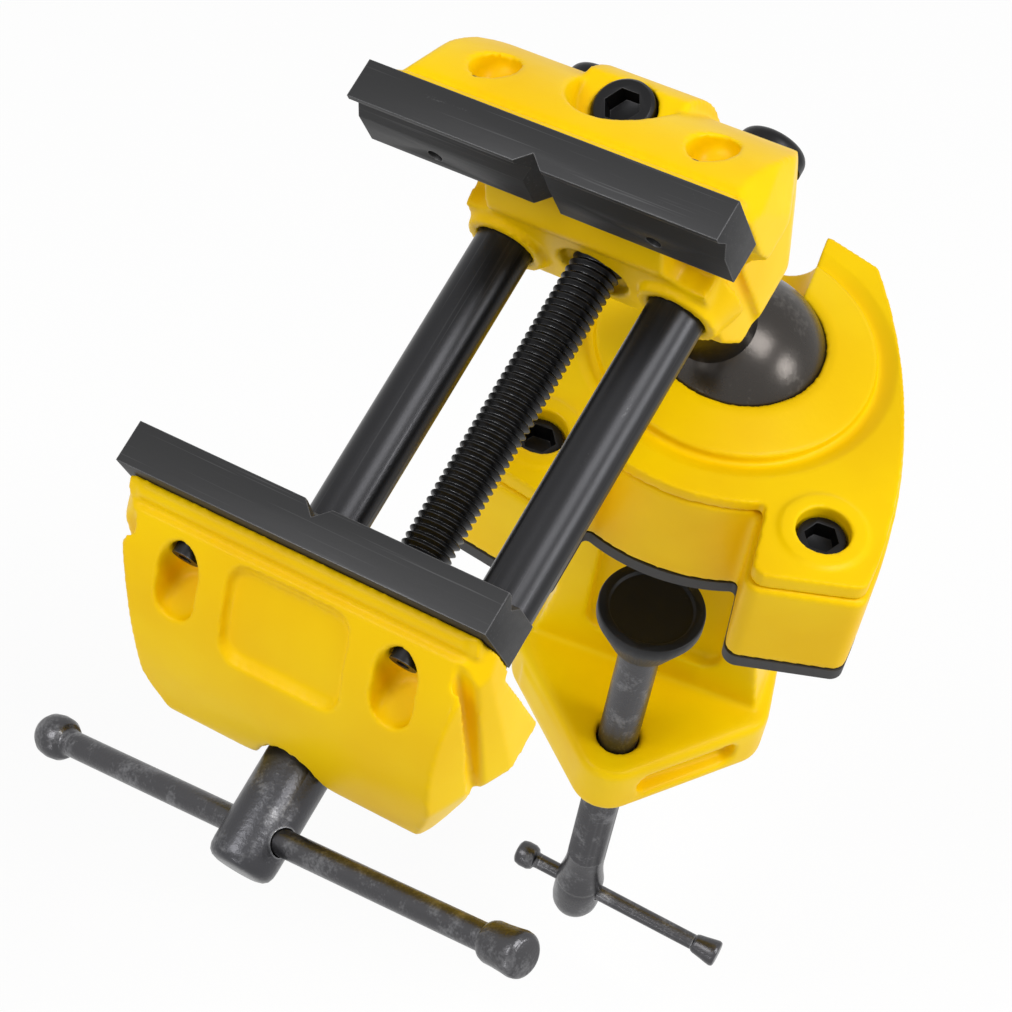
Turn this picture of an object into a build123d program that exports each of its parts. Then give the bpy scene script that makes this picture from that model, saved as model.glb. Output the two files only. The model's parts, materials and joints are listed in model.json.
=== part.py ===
from build123d import *
import math
import os

# Multi-angle vise, in millimetres and degrees.
# The origin lies on the clamp screw's axis, on the underside of the rubber pad, +Z up.
# Head pieces are drawn in the head's own frame, whose origin is the middle of the fixed
# plate's top edge on the gap side, X along the jaws, Y away from the moving jaw, Z up the stem.

# How the vise stands: the ball's lean, where it leans to, and the head's turn on its stem
lean = 24.13
lean_azimuth = -131.51
head_turn = 119.43

# Running and seating clearances
running_clearance = 0.05
loose_clearance = 0.3
bolt_clearance = 0.25

# Jaw plates
jaw_width = 76.0
plate_thickness = 8.0
plate_height = 15.0
jaw_opening = 69.3
plate_groove_top = 1.2
plate_groove_bottom = 7.0
plate_groove_depth = 1.6
plate_notch_half = 2.8
plate_notch_depth = 2.6
plate_screw_spacing = 45.6
plate_screw_drop = 11.4
plate_screw_radius = 1.5
plate_screw_head_radius = 2.6
plate_screw_head_height = 3.0
plate_screw_seat = 5.0
plate_screw_end = 1.5

# Jaw castings, measured outwards from the plate seat and down from the plate's top edge
jaw_depth = 28.0
skirt_drop = 44.0
side_floor_drop = 38.0
side_floor_depth = 16.5
side_setback = 1.6
bead_half_width = 36.4
bead_drop = 3.8
bead_flat = 0.9
bead_depth = 2.9
bead_foot_drop = 7.2
crown_start = 4.6
crown_drop = 6.6
pocket_radius = 3.65
pocket_depth = 17.5
pocket_centre = 12.8
# each plane that slopes an end face inwards, by three points of (half width, depth, height)
top_cheek = ((34.2, 4.6, -6.6), (33.8, 10.4, -10.0), (38.0, 7.5, -13.0))

# Moving jaw casting
moving_crown_radius = 54.0
moving_cheek = ((36.8, 5.0, -5.0), (34.8, 17.5, -36.0), (32.2, 19.3, -20.5))
moving_low_cheek = ((31.0, 25.0, -33.0), (25.5, 27.3, -44.0), (34.2, 16.5, -38.5))
moving_edge_round = 2.5
moving_block_half = 25.0
moving_block_drop = 53.0
moving_block_depth = 20.0
moving_block_setback = 5.7
moving_block_corner = 6.0
side_groove_width = 2.2
side_groove_floor_half = 34.0
side_groove_top = (3.6, -3.6)
side_groove_bottom = (16.9, -39.5)
panel_half_width = 12.5
panel_near = 6.8
panel_far = 19.5
panel_depth = 0.8
panel_round = 3.5
arch_radius = 8.3
arch_depth = 4.3
screw_boss_radius = 10.5

# Fixed jaw casting
fixed_crown_radius = 41.5
fixed_cheek = ((38.0, 0.0, -4.0), (38.0, 9.5, -20.0), (34.0, 20.0, -19.0))
fixed_low_cheek = ((38.6, 6.0, -26.0), (27.0, 27.5, -38.0), (29.0, 16.0, -50.0))
fixed_setback = 2.8
fixed_ledge = (1.6, -29.5)
fixed_ledge_foot_drop = 33.5
fixed_front_foot_drop = 53.0
fixed_block_half = 28.0
fixed_block_front_half = 26.0
fixed_block_drop = 62.0
fixed_block_corner = 7.0
fixed_rear_foot = 9.0
fixed_wing_drop = 23.0
fixed_wing_foot_drop = 38.0
fixed_shelf_drop = 20.4
fixed_seat_drop = 26.0
recess_radius = 10.0
recess_behind_seat = 19.0
stem_boss_half = 10.8
stem_boss_top_depth = 22.6
stem_boss_drop = 38.0
stem_boss_crown_radius = 17.0
rod_boss_radius = 8.2
rod_boss_reach = 1.7

# Guide rods and main screw
rod_radius = 5.75
rod_spacing = 37.5
rod_drop = 44.0
rod_socket_depth = 22.0
rod_pin_radius = 2.0
rod_pin_length = 13.0
rod_stop_radius = 6.8
rod_stop_height = 4.0
rod_stop_shank_radius = 3.0
rod_stop_shank_length = 14.0
screw_radius = 5.0
screw_core_radius = 4.2
screw_head_radius = 6.4
screw_head_length = 22.2
screw_end_margin = 2.0
screw_entry_radius = 7.2
screw_entry_depth = 2.5
washer_radius = 7.8
washer_thickness = 1.2
retainer_radius = 8.0
retainer_thickness = 1.2
retainer_slot_half = 3.0

# Main handle
tbar_radius = 2.5
tbar_turn = -17.4
tbar_from_head_end = 7.7
tbar_length = 118.9
tbar_offset = 2.05
knob_radius = 4.6
knob_length = 10.5
knob_round = 1.6
knob_neck_radius = 3.5
knob_flare_share = 0.3

# Stem, its bolt and the ball
stem_behind_gap = 25.2
ball_drop = 123.1
ball_radius = 20.5
neck_radius = 9.0
shank_radius = 8.0
shank_top_drop = 31.0
spigot_radius = 6.0
spigot_end_below_centre = 10.0
head_bolt_radius = 3.97
head_bolt_head_radius = 5.95
head_bolt_head_height = 7.0
head_bolt_engagement = 6.5
hex_half_flats = 3.175
hex_depth = 4.0
ball_screw_radius = 3.0
ball_screw_head_radius = 7.5
ball_screw_head_height = 4.0
ball_screw_length = 14.0

# Socket: the cap, the body round the ball and the seat ring under it
ball_behind_clamp = 29.5
ball_height = 25.3
seam_height = 28.5
cap_top = 31.5
collar_top = 34.8
collar_step = 0.7
collar_radius = 29.8
front_arc_radius = 40.7
rear_edge = 67.1
rear_corner = (22.0, 63.5)
flank_middle = (36.7, 30.4)
lobe_corner_rear = (42.6, -11.5)
lobe_corner_front = (42.2, -19.4)
lobe_inner_front = (19.6, -25.3)
lobe_inner_x = 17.7
outline_round = 3.0
lobe_inner_round = 1.2
lobe_thickness = 4.3
trough_half = 9.4
seat_outer_radius = 20.0
seat_inner_radius = 11.0
seat_bottom = 7.5
seat_top = 15.5
socket_floor_clearance = 0.4
cap_screw_x = 30.2
cap_screw_y = -9.3
cap_screw_radius = 3.0
cap_screw_head_radius = 5.0
cap_screw_head_height = 6.0
cap_screw_length = 18.0
cap_counterbore_radius = 5.7
cap_boss_radius = 8.6
cap_boss_bottom = 20.0
cap_boss_floor = 3.5
cap_rim_radius = 9.0
cap_rim_height = 0.6

# Rubber pad, spine and arm of the clamp
pad_thickness = 3.0
spine_front = 19.5
spine_depth_top = 40.0
spine_depth_bottom = 27.0
spine_half = 25.0
spine_top_half = 27.0
spine_foot_half = 28.0
spine_recess_half = 16.5
spine_recess_depth = 3.5
spine_recess_margin = 9.0
spine_recess_round = 5.0
throat_height = 78.7
arm_thickness = 16.0
arm_nose_y = -3.0
arm_nose_radius = 9.0
arm_shoulder_x = 23.5
arm_shoulder_y = 19.5
arm_shoulder_radius = 8.0
arm_pocket_height = 7.8
arm_pocket_depth = 4.5
arm_pocket_length = 26.0
arm_edge_round = 2.0
throat_round = 5.0

# Clamp screw, its swivel cup and its handle
tube_diameter = 26.0
clamp_radius = 4.75
clamp_bore_clearance = 0.4
clamp_tbar_drop = 150.0
clamp_head_radius = 6.0
clamp_head_above_bar = 7.5
clamp_head_below_bar = 5.8
clamp_head_step = 0.8
clamp_tbar_radius = 2.0
clamp_tbar_turn = -8.5
clamp_tbar_length = 50.8
clamp_tbar_offset = 10.6
clamp_knob_radius = 3.9
clamp_knob_length = 7.0
clamp_knob_round = 1.2
clamp_knob_neck_radius = 2.8
cup_radius = 12.0
cup_rim = 3.0
cup_height = 12.7
cup_neck_radius = 7.5
cup_dish_depth = 0.8
cup_dish_radius = 9.5
journal_radius = 3.5
journal_length = 8.0
journal_groove_radius = 2.8
retaining_ring_radius = 4.9
retaining_ring_height = 0.8
retaining_ring_rise = 4.0

# Sizes that follow from those above
rod_x = rod_spacing / 2
plate_screw_x = plate_screw_spacing / 2
fixed_seat_y = plate_thickness
moving_gap_y = -jaw_opening
moving_seat_y = moving_gap_y - plate_thickness
moving_inner_y = moving_gap_y - moving_block_setback
fixed_rear_y = fixed_seat_y + jaw_depth
moving_front_y = moving_seat_y - jaw_depth
jaw_half = jaw_width / 2
washer_y = moving_front_y + arch_depth
screw_head_inner_y = washer_y - washer_thickness - running_clearance
screw_head_outer_y = screw_head_inner_y - screw_head_length
tbar_y = screw_head_outer_y + tbar_from_head_end
stem_y = stem_behind_gap - fixed_seat_y
ball_place = (0.0, ball_behind_clamp, ball_height)
body_bottom = pad_thickness
cup_top_z = -tube_diameter
cup_bottom_z = cup_top_z - cup_height


# Cylinders along each axis, between two places on it
def upright(x, y, z_low, z_high, radius):
    return Pos(x, y, z_low) * Cylinder(radius, z_high - z_low, align=(Align.CENTER, Align.CENTER, Align.MIN))


def along_y(x, z, y_low, y_high, radius):
    body = Cylinder(radius, y_high - y_low, align=(Align.CENTER, Align.CENTER, Align.MIN))
    return Pos(x, y_low, z) * Rot(X=-90) * body


# A face drawn in the Y-Z plane, made as thick as the given span of X
def side_prism(face, x_low, x_high):
    return Pos(x_low, 0, 0) * extrude(Plane.YZ * face, x_high - x_low)


# A face drawn in the X-Z plane, made as thick as the given span of Y
def front_prism(face, y_low, y_high):
    return Pos(0, y_high, 0) * extrude(Plane.XZ * face, y_high - y_low)


def flat_prism(face, z_low, z_high):
    return Pos(0, 0, z_low) * extrude(face, z_high - z_low)


def polygon(*points):
    return make_face(Polyline(*points, close=True))


def box_between(low, high):
    size = [high[i] - low[i] for i in range(3)]
    middle = [(high[i] + low[i]) / 2 for i in range(3)]
    return Pos(*middle) * Box(*size)


def both_sides(part):
    return part + mirror(part, about=Plane.YZ)


# Solid turned about Z from a half profile of (radius, height) points
def turned(*points):
    return revolve(Plane.XZ * make_face(Polyline(*points, close=True)), Axis.Z)


# The jaw plate, drawn for the fixed jaw: groove along its face and a notch down its middle
def jaw_plate():
    groove_middle = (plate_groove_top + plate_groove_bottom) / 2
    section = polygon(
        (0, 0),
        (0, -plate_groove_top),
        (plate_groove_depth, -groove_middle),
        (0, -plate_groove_bottom),
        (0, -plate_height),
        (plate_thickness, -plate_height),
        (plate_thickness, 0),
    )
    plate = side_prism(section, -jaw_half, jaw_half)
    notch = polygon((-plate_notch_half, 0), (0, plate_notch_depth), (plate_notch_half, 0))
    plate -= flat_prism(notch, -plate_height, 0)
    for x in (-plate_screw_x, plate_screw_x):
        plate -= along_y(x, -plate_screw_drop, 0, plate_thickness, plate_screw_radius)
    return plate


# Screws that hold a plate, drawn for the fixed jaw, their heads sunk in the casting's level bores
def plate_screws():
    seat = fixed_seat_y + plate_screw_seat
    top = seat + plate_screw_head_height
    screws = Part()
    for x in (-plate_screw_x, plate_screw_x):
        screw = along_y(x, -plate_screw_drop, plate_screw_end, seat, plate_screw_radius)
        head = along_y(x, -plate_screw_drop, seat, top, plate_screw_head_radius)
        head -= along_y(x, -plate_screw_drop, (seat + top) / 2, top, plate_screw_head_radius / 2)
        screws += screw + head
    return screws


# The same piece on the moving jaw is the fixed jaw's, mirrored across the gap
def facing(part):
    return mirror(part, about=Plane(origin=(0, moving_gap_y / 2, 0), z_dir=(0, 1, 0)))


# Side view of a jaw casting, drawn outwards from the plate seat: bead, crown and skirt.
# Below the plate the seat steps back a little.
def jaw_section(crown_radius):
    bead_round = bead_depth - bead_flat
    return make_face([
        Line((0, -plate_height), (0, -bead_drop)),
        Line((0, -bead_drop), (bead_flat, -bead_drop)),
        RadiusArc((bead_flat, -bead_drop), (bead_depth, -bead_drop - bead_round), bead_round),
        Line((bead_depth, -bead_drop - bead_round), (bead_depth, -bead_foot_drop)),
        Line((bead_depth, -bead_foot_drop), (crown_start, -crown_drop)),
        RadiusArc((crown_start, -crown_drop), (jaw_depth, -skirt_drop), crown_radius),
        Line((jaw_depth, -skirt_drop), (side_floor_depth, -side_floor_drop)),
        Line((side_floor_depth, -side_floor_drop), (side_setback, -side_floor_drop)),
        Line((side_setback, -side_floor_drop), (side_setback, -plate_height - side_setback)),
        Line((side_setback, -plate_height - side_setback), (0, -plate_height)),
    ])


# The bead alone, which runs on past the crown's sloping ends
def bead():
    section = polygon(
        (0, -bead_foot_drop), (0, -bead_drop), (bead_flat, -bead_drop), (bead_depth, -bead_foot_drop + 1),
        (bead_depth, -bead_foot_drop),
    )
    return side_prism(section, -bead_half_width, bead_half_width)


# Slope both end faces along the plane through three points, given for the right-hand end
def trim_ends(casting, points):
    origin, along, across = (Vector(*point) for point in points)
    end_plane = Plane(origin=origin, z_dir=(along - origin).cross(across - origin))
    keep = Keep.BOTTOM if end_plane.z_dir.X > 0 else Keep.TOP
    for _ in range(2):
        casting = mirror(split(casting, bisect_by=end_plane, keep=keep), about=Plane.YZ)
    return casting


# Cuts for the plate screws: an upright pocket in the crown, and a stepped level bore through its wall
def screw_pockets():
    cut = Part()
    for x in (-plate_screw_x, plate_screw_x):
        cut += upright(x, pocket_centre, -pocket_depth, 0, pocket_radius)
        cut += along_y(x, -plate_screw_drop, plate_screw_seat, pocket_centre, plate_screw_head_radius)
        cut += along_y(x, -plate_screw_drop, -1, plate_screw_seat, plate_screw_radius)
    return cut


# Both castings are drawn in a frame whose Y starts at the plate seat
def fixed_jaw():
    front = fixed_setback - plate_thickness
    body = side_prism(jaw_section(fixed_crown_radius), -jaw_half, jaw_half)
    # the block that holds the rods, the screw and the stem runs forward under the plate
    block_side = polygon(
        (0, -plate_height), (fixed_ledge[0] - plate_thickness, fixed_ledge[1]), (front, -fixed_ledge_foot_drop),
        (front, -fixed_front_foot_drop), (0, -fixed_block_drop), (jaw_depth - fixed_rear_foot, -fixed_block_drop),
        (jaw_depth, -fixed_front_foot_drop), (jaw_depth, -skirt_drop), (bead_depth, -plate_height),
    )
    body += side_prism(block_side, -jaw_half, jaw_half)
    # seen from the front, the wings run down into the narrower block in a hollow curve
    outline = polygon(
        (-jaw_half, 0), (jaw_half, 0), (jaw_half, -fixed_wing_drop), (fixed_block_half, -fixed_wing_foot_drop),
        (fixed_block_half, -fixed_block_drop), (-fixed_block_half, -fixed_block_drop),
        (-fixed_block_half, -fixed_wing_foot_drop), (-jaw_half, -fixed_wing_drop),
    )
    outline = fillet([v for v in outline.vertices() if v.Y < -fixed_ledge_foot_drop], fixed_block_corner)
    body &= front_prism(outline, front - 1, jaw_depth + 1)
    # seen from above, only the block stands forward of the seat
    plan = polygon(
        (-fixed_block_front_half, front - 1), (fixed_block_front_half, front - 1), (fixed_block_front_half, 0),
        (jaw_half, 0), (jaw_half, jaw_depth), (-jaw_half, jaw_depth), (-jaw_half, 0), (-fixed_block_front_half, 0),
    )
    inner_corners = [v for v in plan.vertices() if v.Y == 0 and abs(v.X) < jaw_half]
    plan = fillet(inner_corners, -front * 0.9)
    body &= flat_prism(plan, -fixed_block_drop, 0)
    for points in (top_cheek, fixed_cheek, fixed_low_cheek):
        body = trim_ends(body, points)
    body += bead()
    # shelf for the stem's bolt: a round recess in front of it, a rounded boss behind it
    shelf = -fixed_shelf_drop
    stem_boss = make_face([
        Line((recess_behind_seat, -stem_boss_drop), (recess_behind_seat, shelf)),
        Line((recess_behind_seat, shelf), (stem_boss_top_depth, shelf)),
        RadiusArc((stem_boss_top_depth, shelf), (jaw_depth, -stem_boss_drop), stem_boss_crown_radius),
        Line((jaw_depth, -stem_boss_drop), (recess_behind_seat, -stem_boss_drop)),
    ])
    body += side_prism(stem_boss, -stem_boss_half, stem_boss_half)
    body -= upright(0, recess_behind_seat, shelf, 0, recess_radius)
    body -= upright(0, stem_y, -fixed_seat_drop, 0, head_bolt_head_radius + loose_clearance)
    # bosses round the rods, the bores for them, and the wider entry of the main screw
    for x in (-rod_x, rod_x):
        body += along_y(x, -rod_drop, front - rod_boss_reach, 0, rod_boss_radius)
        body -= along_y(x, -rod_drop, front - 5, jaw_depth + 5, rod_radius + running_clearance)
    body -= along_y(0, -rod_drop, front - 5, jaw_depth + 5, screw_radius + loose_clearance)
    body -= along_y(0, -rod_drop, front - 5, front + screw_entry_depth, screw_entry_radius)
    # bore for the stem and its bolt
    body -= upright(0, stem_y, -fixed_block_drop - 1, -shank_top_drop, shank_radius + running_clearance)
    body -= upright(0, stem_y, -shank_top_drop - 1, -fixed_seat_drop + 1, head_bolt_radius + bolt_clearance)
    return Pos(0, fixed_seat_y, 0) * (body - screw_pockets())


def moving_jaw():
    inner = moving_block_setback - plate_thickness
    section = jaw_section(moving_crown_radius)
    skirt_edge = section.vertices().sort_by(Axis.Y)[0]
    body = side_prism(fillet(skirt_edge, moving_edge_round), -jaw_half, jaw_half)
    for points in (top_cheek, moving_cheek, moving_low_cheek):
        body = trim_ends(body, points)
    body += bead()
    # block under the plate that takes the rods and the screw
    block = box_between((-moving_block_half, inner, -moving_block_drop), (moving_block_half, moving_block_depth, -plate_height))
    block = fillet(block.edges().filter_by(Axis.Y).group_by(Axis.Z)[0], moving_block_corner)
    keep = polygon(
        (inner, -plate_height), (inner, -moving_block_drop), (moving_block_depth, -moving_block_drop),
        (moving_block_depth, -skirt_drop), (bead_depth, -plate_height),
    )
    body += block & side_prism(keep, -jaw_half, jaw_half)
    body += along_y(0, -rod_drop, 0, jaw_depth - arch_depth, screw_boss_radius)
    # groove down each side, between the rounded shell and the part that carries the plate
    run = (side_groove_bottom[0] - side_groove_top[0], side_groove_bottom[1] - side_groove_top[1])
    length = math.hypot(*run)
    across = (-run[1] / length * side_groove_width, run[0] / length * side_groove_width)
    groove = polygon(
        side_groove_top, side_groove_bottom,
        (side_groove_bottom[0] + across[0], side_groove_bottom[1] + across[1]),
        (side_groove_top[0] + across[0], side_groove_top[1] + across[1]),
    )
    body -= both_sides(side_prism(groove, side_groove_floor_half, jaw_half + 1))
    # shallow panel in the middle of the rounded face
    crown = jaw_section(moving_crown_radius)
    slope = math.atan2(panel_far - panel_near, panel_far - crown_start)
    sink = (-panel_depth * math.sin(slope), -panel_depth * math.cos(slope))
    skin = side_prism(crown - Pos(*sink) * crown, -panel_half_width, panel_half_width)
    panel_middle = Pos(0, (panel_near + panel_far) / 2, -(panel_near + panel_far) / 2)
    panel_length = (panel_far - panel_near) / math.cos(slope)
    window = extrude(RectangleRounded(2 * panel_half_width, panel_length, panel_round), panel_near, both=True)
    body -= skin & (panel_middle * Rot(X=-math.degrees(slope)) * window)
    # arch round the screw's head, with a flat floor for the thrust washer
    arch_floor = jaw_depth - arch_depth
    body -= along_y(0, -rod_drop, arch_floor, jaw_depth + 5, arch_radius)
    body -= box_between((-arch_radius, arch_floor, -moving_block_drop), (arch_radius, jaw_depth + 5, -rod_drop))
    # bores for the rods, their pins and the screw
    for x in (-rod_x, rod_x):
        body -= along_y(x, -rod_drop, inner - 5, inner + rod_socket_depth, rod_radius + running_clearance)
        pin_depth = inner + rod_socket_depth / 2
        body -= upright(x, pin_depth, -moving_block_drop - 1, -moving_block_drop + rod_pin_length, rod_pin_radius)
    body -= along_y(0, -rod_drop, inner - 5, arch_floor + 1, screw_radius + running_clearance)
    return facing(Pos(0, fixed_seat_y, 0) * (body - screw_pockets()))


def guide_rod(x):
    start = moving_inner_y - rod_socket_depth + loose_clearance
    end = fixed_rear_y + loose_clearance
    rod = along_y(x, -rod_drop, start, end, rod_radius)
    rod -= along_y(x, -rod_drop, end - rod_stop_shank_length, end, rod_stop_shank_radius)
    pin_y = moving_inner_y - rod_socket_depth / 2
    rod -= upright(x, pin_y, -moving_block_drop - 1, -moving_block_drop + rod_pin_length, rod_pin_radius)
    return rod


def rod_pins():
    pins = Part()
    pin_y = moving_inner_y - rod_socket_depth / 2
    for x in (-rod_x, rod_x):
        pins += upright(x, pin_y, -moving_block_drop, -moving_block_drop + rod_pin_length, rod_pin_radius)
    return pins


def rod_stops():
    stops = Part()
    y = fixed_rear_y + loose_clearance
    for x in (-rod_x, rod_x):
        head = along_y(x, -rod_drop, y, y + rod_stop_height, rod_stop_radius)
        head = fillet(head.edges().filter_by(GeomType.CIRCLE).sort_by(Axis.Y)[-1], rod_stop_height * 0.6)
        stops += head + along_y(x, -rod_drop, y - rod_stop_shank_length, y, rod_stop_shank_radius)
    return stops


def main_screw():
    rear_end = fixed_rear_y + screw_end_margin
    groove_start = moving_inner_y + running_clearance
    screw = along_y(0, -rod_drop, screw_head_inner_y, rear_end, screw_radius)
    head = along_y(0, -rod_drop, screw_head_outer_y, screw_head_inner_y, screw_head_radius)
    head = chamfer(head.edges().filter_by(GeomType.CIRCLE).sort_by(Axis.Y)[0], 1.2)
    ring = along_y(0, -rod_drop, groove_start, groove_start + retainer_thickness + running_clearance, screw_radius + 1)
    ring -= along_y(0, -rod_drop, groove_start - 1, groove_start + retainer_thickness + 1, screw_core_radius)
    bar_hole = Rot(Y=tbar_turn) * Rot(Y=90) * Cylinder(tbar_radius + running_clearance, 4 * screw_head_radius)
    return screw - ring + head - Pos(0, tbar_y, -rod_drop) * bar_hole


def screw_retainer():
    start = moving_inner_y + running_clearance
    ring = along_y(0, -rod_drop, start, start + retainer_thickness, retainer_radius)
    ring -= along_y(0, -rod_drop, start - 1, start + retainer_thickness + 1, screw_core_radius + running_clearance)
    slot = box_between(
        (-retainer_slot_half, start - 1, -rod_drop - retainer_radius - 1),
        (retainer_slot_half, start + retainer_thickness + 1, -rod_drop),
    )
    return ring - slot


def thrust_washer():
    washer = along_y(0, -rod_drop, washer_y - washer_thickness, washer_y, washer_radius)
    return washer - along_y(0, -rod_drop, washer_y - 5, washer_y + 5, screw_radius + running_clearance)


# A straight bar along X about its middle
def bar(radius, length, knob):
    return Rot(Y=90) * Cylinder(radius, length - knob)


# The two knobs pressed on a bar's ends: a neck that flares out to a rounded drum
def bar_knobs(neck, radius, length, knob, rounding):
    flare = knob * knob_flare_share
    section = make_face([
        Line((0, -knob / 2), (neck, -knob / 2)),
        Line((neck, -knob / 2), (radius, -knob / 2 + flare)),
        Line((radius, -knob / 2 + flare), (radius, knob / 2 - rounding)),
        RadiusArc((radius, knob / 2 - rounding), (radius - rounding, knob / 2), -rounding),
        Line((radius - rounding, knob / 2), (0, knob / 2)),
        Line((0, knob / 2), (0, -knob / 2)),
    ])
    drum = revolve(Plane.XZ * section, Axis.Z)
    return both_sides(Pos(length / 2, 0, 0) * Rot(Y=90) * drum)


def main_bar_place():
    return Pos(0, tbar_y, -rod_drop) * Rot(Y=tbar_turn) * Pos(tbar_offset, 0, 0)


def clamp_bar_place():
    return Pos(0, 0, -clamp_tbar_drop) * Rot(Z=clamp_tbar_turn) * Pos(clamp_tbar_offset, 0, 0)


# The stem: neck, shank in the fixed jaw with the main screw's cross thread, and the ball's spigot
def stem():
    shoulder = math.sqrt(ball_radius ** 2 - neck_radius ** 2) - ball_drop + running_clearance
    y = stem_behind_gap
    body = upright(0, y, shoulder, -fixed_block_drop, neck_radius)
    body += upright(0, y, -fixed_block_drop, -shank_top_drop, shank_radius)
    body += upright(0, y, -ball_drop - spigot_end_below_centre, shoulder, spigot_radius)
    body -= upright(0, y, -shank_top_drop - head_bolt_engagement, -shank_top_drop, head_bolt_radius)
    body -= upright(0, y, -ball_drop - spigot_end_below_centre, -ball_drop - spigot_end_below_centre + ball_screw_length, ball_screw_radius)
    return body - along_y(0, -rod_drop, 0, 2 * y, screw_radius + running_clearance)


def hex_socket(depth):
    return extrude(RegularPolygon(hex_half_flats, 6, major_radius=False), depth)


def head_bolt():
    y = stem_behind_gap
    seat = -fixed_seat_drop
    top = seat + head_bolt_head_height
    head = upright(0, y, seat, top, head_bolt_head_radius)
    head = chamfer(head.edges().filter_by(GeomType.CIRCLE).sort_by(Axis.Z)[-1], 0.6)
    head -= Pos(0, y, top - hex_depth) * hex_socket(hex_depth)
    return head + upright(0, y, -shank_top_drop - head_bolt_engagement, seat, head_bolt_radius)


# The ball, drawn about its own centre with the stem upwards
def ball():
    flat = math.sqrt(ball_radius ** 2 - neck_radius ** 2)
    seat = -spigot_end_below_centre - running_clearance
    body = Sphere(ball_radius)
    body -= upright(0, 0, flat, ball_radius + 1, ball_radius)
    body -= upright(0, 0, seat - 1, ball_radius + 1, spigot_radius + running_clearance)
    body -= upright(0, 0, -ball_radius - 1, seat - running_clearance, ball_screw_head_radius + loose_clearance)
    return body


def ball_screw():
    top = -spigot_end_below_centre - 2 * running_clearance - running_clearance
    head = upright(0, 0, top - ball_screw_head_height, top, ball_screw_head_radius)
    head -= Pos(0, 0, top - ball_screw_head_height) * hex_socket(hex_depth / 2)
    return head + upright(0, 0, top, -spigot_end_below_centre + ball_screw_length, ball_screw_radius)


# Outline of the socket seen from above; grow widens its flanks and lobes
def socket_outline(grow):
    flank = [
        (0, rear_edge),
        (rear_corner[0] / 2, rear_edge),
        (rear_corner[0] + grow, rear_corner[1]),
    ]
    lobe = [
        (lobe_corner_rear[0] + grow, lobe_corner_rear[1]),
        (lobe_corner_front[0] + grow, lobe_corner_front[1] - grow),
        (lobe_inner_front[0] - grow, lobe_inner_front[1] - grow),
        (lobe_inner_x - grow, ball_behind_clamp - math.sqrt(front_arc_radius ** 2 - (lobe_inner_x - grow) ** 2)),
    ]
    right = [
        Polyline(*flank),
        ThreePointArc(flank[-1], (flank_middle[0] + grow, flank_middle[1]), lobe[0]),
        Polyline(*lobe),
        ThreePointArc(
            lobe[-1],
            (lobe[-1][0] / 2, ball_behind_clamp - math.sqrt(front_arc_radius ** 2 - (lobe[-1][0] / 2) ** 2)),
            (0, ball_behind_clamp - front_arc_radius),
        ),
        Line((0, ball_behind_clamp - front_arc_radius), (0, rear_edge)),
    ]
    half = make_face(right)
    outer = [v for v in half.vertices() if v.X > lobe_inner_x + 1 and v.Y != lobe[0][1]]
    half = fillet(outer, outline_round)
    inner = [v for v in half.vertices() if abs(v.X - lobe[-1][0]) < 0.01 and v.Y < 0]
    half = fillet(inner, lobe_inner_round)
    return half + mirror(half, about=Plane.YZ)


# Channel at the back where the neck lies when the head is tipped right over
def neck_trough():
    channel = along_y(0, ball_height, ball_behind_clamp, rear_edge + 5, trough_half)
    return channel + box_between(
        (-trough_half, ball_behind_clamp, ball_height),
        (trough_half, rear_edge + 5, collar_top + 5),
    )


def cap_screw_places():
    return [(-cap_screw_x, cap_screw_y), (cap_screw_x, cap_screw_y)]


def socket_cap():
    cap = flat_prism(socket_outline(0), seam_height, cap_top)
    # lobes are thicker, and a boss under each drops into the body and carries the screw's head
    lobe_zone = both_sides(box_between((lobe_inner_x, -40, 0), (60, ball_behind_clamp - front_arc_radius + 14, 60)))
    cap += flat_prism(socket_outline(0), cap_top - lobe_thickness, cap_top) & lobe_zone
    collar = turned(
        (0, seam_height), (collar_radius, seam_height), (collar_radius, cap_top + collar_step),
        (ball_radius, collar_top), (0, collar_top),
    )
    cap += Pos(0, ball_behind_clamp, 0) * collar
    for x, y in cap_screw_places():
        cap += upright(x, y, cap_boss_bottom, cap_top - 1, cap_boss_radius)
        cap += upright(x, y, cap_top - 1, cap_top + cap_rim_height, cap_rim_radius)
        cap -= upright(x, y, cap_boss_bottom + cap_boss_floor, cap_top + 5, cap_counterbore_radius)
        cap -= upright(x, y, 0, cap_top, cap_screw_radius + bolt_clearance)
    cap -= Pos(*ball_place) * Sphere(ball_radius + running_clearance)
    return cap - neck_trough()


def cap_screws():
    screws = Part()
    seat = cap_boss_bottom + cap_boss_floor
    for x, y in cap_screw_places():
        head = upright(x, y, seat, seat + cap_screw_head_height, cap_screw_head_radius)
        head -= Pos(x, y, seat + cap_screw_head_height - hex_depth) * hex_socket(hex_depth)
        screws += head + upright(x, y, seat - cap_screw_length, seat, cap_screw_radius)
    return screws


def ball_seat():
    ring = turned(
        (seat_inner_radius, seat_bottom), (seat_outer_radius, seat_bottom),
        (seat_outer_radius, seat_top), (seat_inner_radius, seat_top),
    )
    return Pos(0, ball_behind_clamp, 0) * ring - Pos(*ball_place) * Sphere(ball_radius + running_clearance)


def arm_outline():
    nose = Pos(0, arm_nose_y) * Circle(arm_nose_radius)
    shoulders = [Pos(x, arm_shoulder_y) * Circle(arm_shoulder_radius) for x in (-arm_shoulder_x, arm_shoulder_x)]
    back = spine_front + spine_depth_bottom
    foot = Pos(0, back - 1) * Rectangle(2 * spine_foot_half, 2)
    return make_hull((nose + shoulders[0] + shoulders[1] + foot).edges())


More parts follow.
